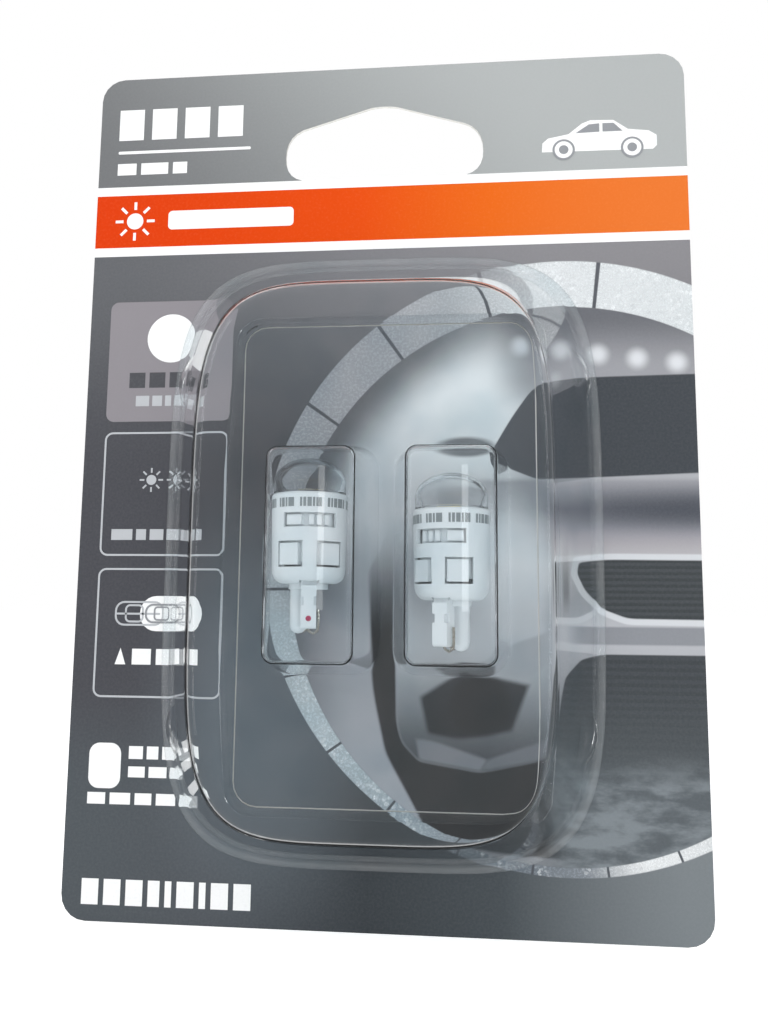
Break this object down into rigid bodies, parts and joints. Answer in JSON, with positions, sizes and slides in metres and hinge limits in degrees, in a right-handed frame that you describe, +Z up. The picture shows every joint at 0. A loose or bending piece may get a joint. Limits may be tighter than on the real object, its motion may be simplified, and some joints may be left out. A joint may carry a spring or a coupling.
{
  "type": "carded pair of wedge base led bulbs",
  "caption": "Hanging blister card holding a pair of wedge-base LED lamps in a clear insert under a clear dome, with a rear tear-open door.",
  "frame": {"origin": "apex of the hang hole's roof on the card's printed face, where a display hook carries the pack", "axes": "+Z up along the card, -Y out of the printed face towards the dome, +X to the right seen from the front"},
  "size_m": [0.095, 0.0176, 0.1345],
  "materials": {
    "printed_card": "satin printed board, pale uncoated back",
    "blister_plastic": "clear thermoformed film, glossy",
    "clear_plastic": "clear moulded lens, glossy",
    "white_plastic": "white moulded plastic, satin",
    "aluminium": "turned, satin",
    "white_board": "white solder mask",
    "phosphor": "yellow silicone over a white package",
    "green_board": "green solder mask",
    "dark_epoxy": "moulded epoxy",
    "plated_wire": "tin-plated wire"
  },
  "bodies": {
    "pack": {"backing_card": "printed_card", "blister_dome": "blister_plastic", "bulb_insert": "blister_plastic"},
    "door": {"rear_door": "printed_card"},
    "left_bulb": {"left_lens": "clear_plastic", "left_housing": "white_plastic", "left_wedge_base": "white_plastic", "left_heat_spreader": "aluminium", "left_led_board": "white_board", "left_led_chip": "phosphor", "left_driver_board": "green_board", "left_rectifier": "dark_epoxy", "left_driver_ic": "dark_epoxy", "left_resistor_low": "dark_epoxy", "left_resistor_high": "dark_epoxy", "left_contact_wire_front": "plated_wire", "left_contact_wire_back": "plated_wire"},
    "right_bulb": {"right_lens": "clear_plastic", "right_housing": "white_plastic", "right_wedge_base": "white_plastic", "right_heat_spreader": "aluminium", "right_led_board": "white_board", "right_led_chip": "phosphor", "right_driver_board": "green_board", "right_rectifier": "dark_epoxy", "right_driver_ic": "dark_epoxy", "right_resistor_low": "dark_epoxy", "right_resistor_high": "dark_epoxy", "right_contact_wire_front": "plated_wire", "right_contact_wire_back": "plated_wire"}
  },
  "joints": [
    {"name": "rear_door_hinge", "type": "hinge", "parent": "pack", "child": "door", "pos_m": [-0.0217, 0.0006, -0.07393], "axis": [0, 0, 1], "range_deg": [0, 150]},
    {"name": "left_bulb_turn", "type": "hinge", "parent": "pack", "child": "left_bulb", "pos_m": [-0.0094, -0.008, -0.07789], "axis": [0, 0, 1], "continuous": true},
    {"name": "right_bulb_turn", "type": "hinge", "parent": "pack", "child": "right_bulb", "pos_m": [0.0109, -0.008, -0.08009], "axis": [0, 0, 1], "continuous": true}
  ]
}
